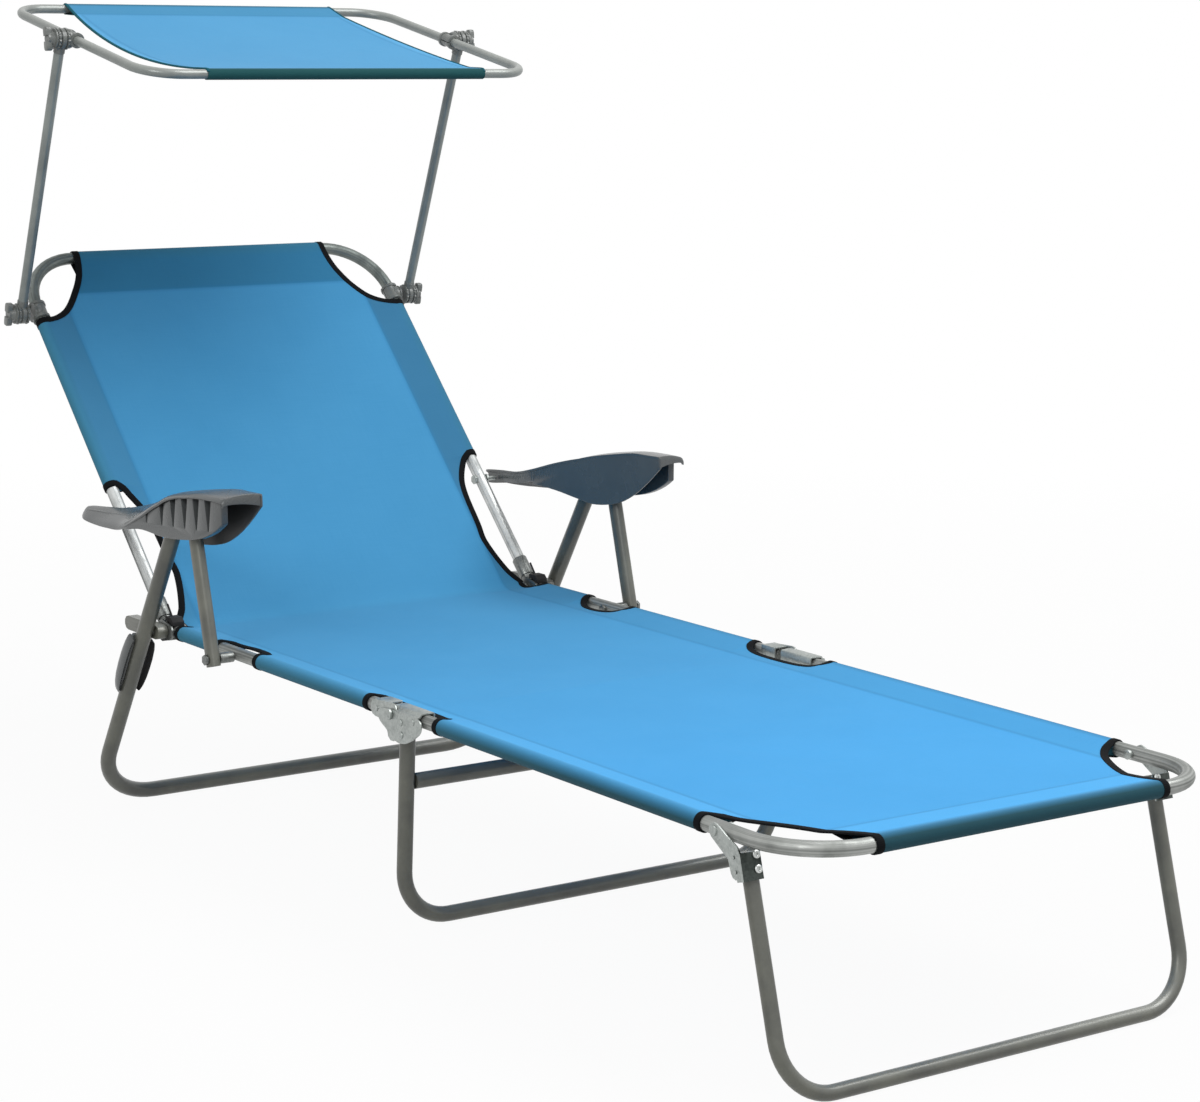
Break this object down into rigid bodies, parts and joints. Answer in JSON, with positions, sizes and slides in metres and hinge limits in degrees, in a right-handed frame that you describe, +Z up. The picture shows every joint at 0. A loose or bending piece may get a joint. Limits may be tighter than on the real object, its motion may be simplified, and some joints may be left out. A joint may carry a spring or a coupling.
{
  "type": "sun lounger with canopy",
  "caption": "Folding sun lounger of bent tube with a woven sling bed, a reclining backrest with armrests, fold-away legs and a tilting canopy.",
  "frame": {"origin": "middle of the bounding box, on the floor", "axes": "+X to the right of a person lying down, +Y towards the head end, +Z up"},
  "size_m": [0.676, 1.7094, 1.0314],
  "materials": {
    "silver_tube": "satin zinc-plated steel tube",
    "grey_tube": "warm grey powder coat, semi-matt",
    "zinc_steel": "bright galvanised sheet and fasteners",
    "grey_plastic": "moulded, satin",
    "black_plastic": "moulded, matt",
    "sling_fabric": "plain woven polyester, mid blue"
  },
  "bodies": {
    "seat_base": {"seat_rail_left": "silver_tube", "seat_rail_right": "silver_tube", "rear_leg": "grey_tube", "leg_pad_left": "grey_plastic", "leg_pad_right": "grey_plastic", "ratchet_lower_left": "zinc_steel", "ratchet_lower_right": "zinc_steel", "rail_end_link_left": "grey_tube", "rail_end_link_right": "grey_tube", "recline_bolt_left": "zinc_steel", "recline_bolt_right": "zinc_steel", "hinge_cap_left": "black_plastic", "hinge_cap_right": "black_plastic", "arm_post_left": "grey_tube", "arm_post_right": "grey_tube", "post_bolt_left": "zinc_steel", "post_bolt_right": "zinc_steel", "seat_fabric": "sling_fabric", "mid_bracket_seat_left": "zinc_steel", "mid_bracket_seat_right": "zinc_steel", "armrest_bolt_left": "zinc_steel", "armrest_bolt_right": "zinc_steel"},
    "backrest": {"backrest_frame": "silver_tube", "ratchet_upper_left": "zinc_steel", "ratchet_upper_right": "zinc_steel", "armrest_pin_left": "zinc_steel", "armrest_pin_right": "zinc_steel", "backrest_fabric": "sling_fabric", "lower_clamp_jaw_left": "grey_plastic", "lower_clamp_jaw_right": "grey_plastic"},
    "left_armrest": {"armrest_left": "grey_plastic"},
    "right_armrest": {"armrest_right": "grey_plastic"},
    "foot_section": {"foot_frame": "silver_tube", "foot_fabric": "sling_fabric", "mid_bracket_foot_left": "zinc_steel", "mid_bracket_foot_right": "zinc_steel"},
    "middle_leg": {"mid_leg": "grey_tube", "mid_crossbar": "grey_tube"},
    "front_leg_frame": {"front_leg": "grey_tube", "front_leg_bracket_left": "zinc_steel", "front_leg_bracket_right": "zinc_steel"},
    "left_strut": {"canopy_strut_left": "grey_tube", "strut_foot_hub_left": "grey_plastic", "strut_top_hub_left": "grey_plastic"},
    "right_strut": {"canopy_strut_right": "grey_tube", "strut_foot_hub_right": "grey_plastic", "strut_top_hub_right": "grey_plastic"},
    "canopy": {"canopy_frame": "grey_tube", "canopy_fabric": "sling_fabric", "upper_clamp_jaw_left": "grey_plastic", "upper_clamp_jaw_right": "grey_plastic"},
    "left_lower_knob": {"lower_wing_knob_left": "grey_plastic"},
    "right_lower_knob": {"lower_wing_knob_right": "grey_plastic"},
    "left_upper_knob": {"upper_wing_knob_left": "grey_plastic"},
    "right_upper_knob": {"upper_wing_knob_right": "grey_plastic"}
  },
  "joints": [
    {"name": "backrest_recline", "type": "hinge", "parent": "seat_base", "child": "backrest", "pos_m": [0, 0.41575, 0.255], "axis": [1, 0, 0], "range_deg": [-45.3, 0]},
    {"name": "left_armrest_tilt", "type": "hinge", "parent": "seat_base", "child": "left_armrest", "pos_m": [-0.31, 0.32575, 0.405], "axis": [1, 0, 0], "range_deg": [-38, 0]},
    {"name": "right_armrest_tilt", "type": "hinge", "parent": "seat_base", "child": "right_armrest", "pos_m": [0.31, 0.32575, 0.405], "axis": [1, 0, 0], "range_deg": [-38, 0]},
    {"name": "foot_section_fold", "type": "hinge", "parent": "seat_base", "child": "foot_section", "pos_m": [0, -0.13625, 0.255], "axis": [1, 0, 0], "range_deg": [-60, 0]},
    {"name": "middle_leg_fold", "type": "hinge", "parent": "seat_base", "child": "middle_leg", "pos_m": [0, -0.13625, 0.233], "axis": [1, 0, 0], "range_deg": [0, 85]},
    {"name": "front_leg_fold", "type": "hinge", "parent": "foot_section", "child": "front_leg_frame", "pos_m": [0, -0.72325, 0.255], "axis": [1, 0, 0], "range_deg": [0, 100]},
    {"name": "canopy_left_strut_tilt", "type": "hinge", "parent": "backrest", "child": "left_strut", "pos_m": [-0.301, 0.78082, 0.62391], "axis": [1, 0, 0], "range_deg": [-35, 35]},
    {"name": "canopy_right_strut_tilt", "type": "hinge", "parent": "backrest", "child": "right_strut", "pos_m": [0.301, 0.78082, 0.62391], "axis": [1, 0, 0], "range_deg": [-35, 35]},
    {"name": "canopy_tilt", "type": "hinge", "parent": "left_strut", "child": "canopy", "pos_m": [-0.301, 0.64146, 0.98605], "axis": [1, 0, 0], "range_deg": [-35, 35]},
    {"name": "left_lower_knob_turn", "type": "hinge", "parent": "backrest", "child": "left_lower_knob", "pos_m": [-0.322, 0.78082, 0.62391], "axis": [1, 0, 0], "continuous": true},
    {"name": "right_lower_knob_turn", "type": "hinge", "parent": "backrest", "child": "right_lower_knob", "pos_m": [0.322, 0.78082, 0.62391], "axis": [1, 0, 0], "continuous": true},
    {"name": "left_upper_knob_turn", "type": "hinge", "parent": "canopy", "child": "left_upper_knob", "pos_m": [-0.322, 0.64146, 0.98605], "axis": [1, 0, 0], "continuous": true},
    {"name": "right_upper_knob_turn", "type": "hinge", "parent": "canopy", "child": "right_upper_knob", "pos_m": [0.322, 0.64146, 0.98605], "axis": [1, 0, 0], "continuous": true}
  ],
  "couplings": [
    {"joint": "left_armrest_tilt", "follows": "backrest_recline", "ratio": 0.837},
    {"joint": "right_armrest_tilt", "follows": "backrest_recline", "ratio": 0.837},
    {"joint": "canopy_right_strut_tilt", "follows": "canopy_left_strut_tilt", "ratio": 1}
  ]
}
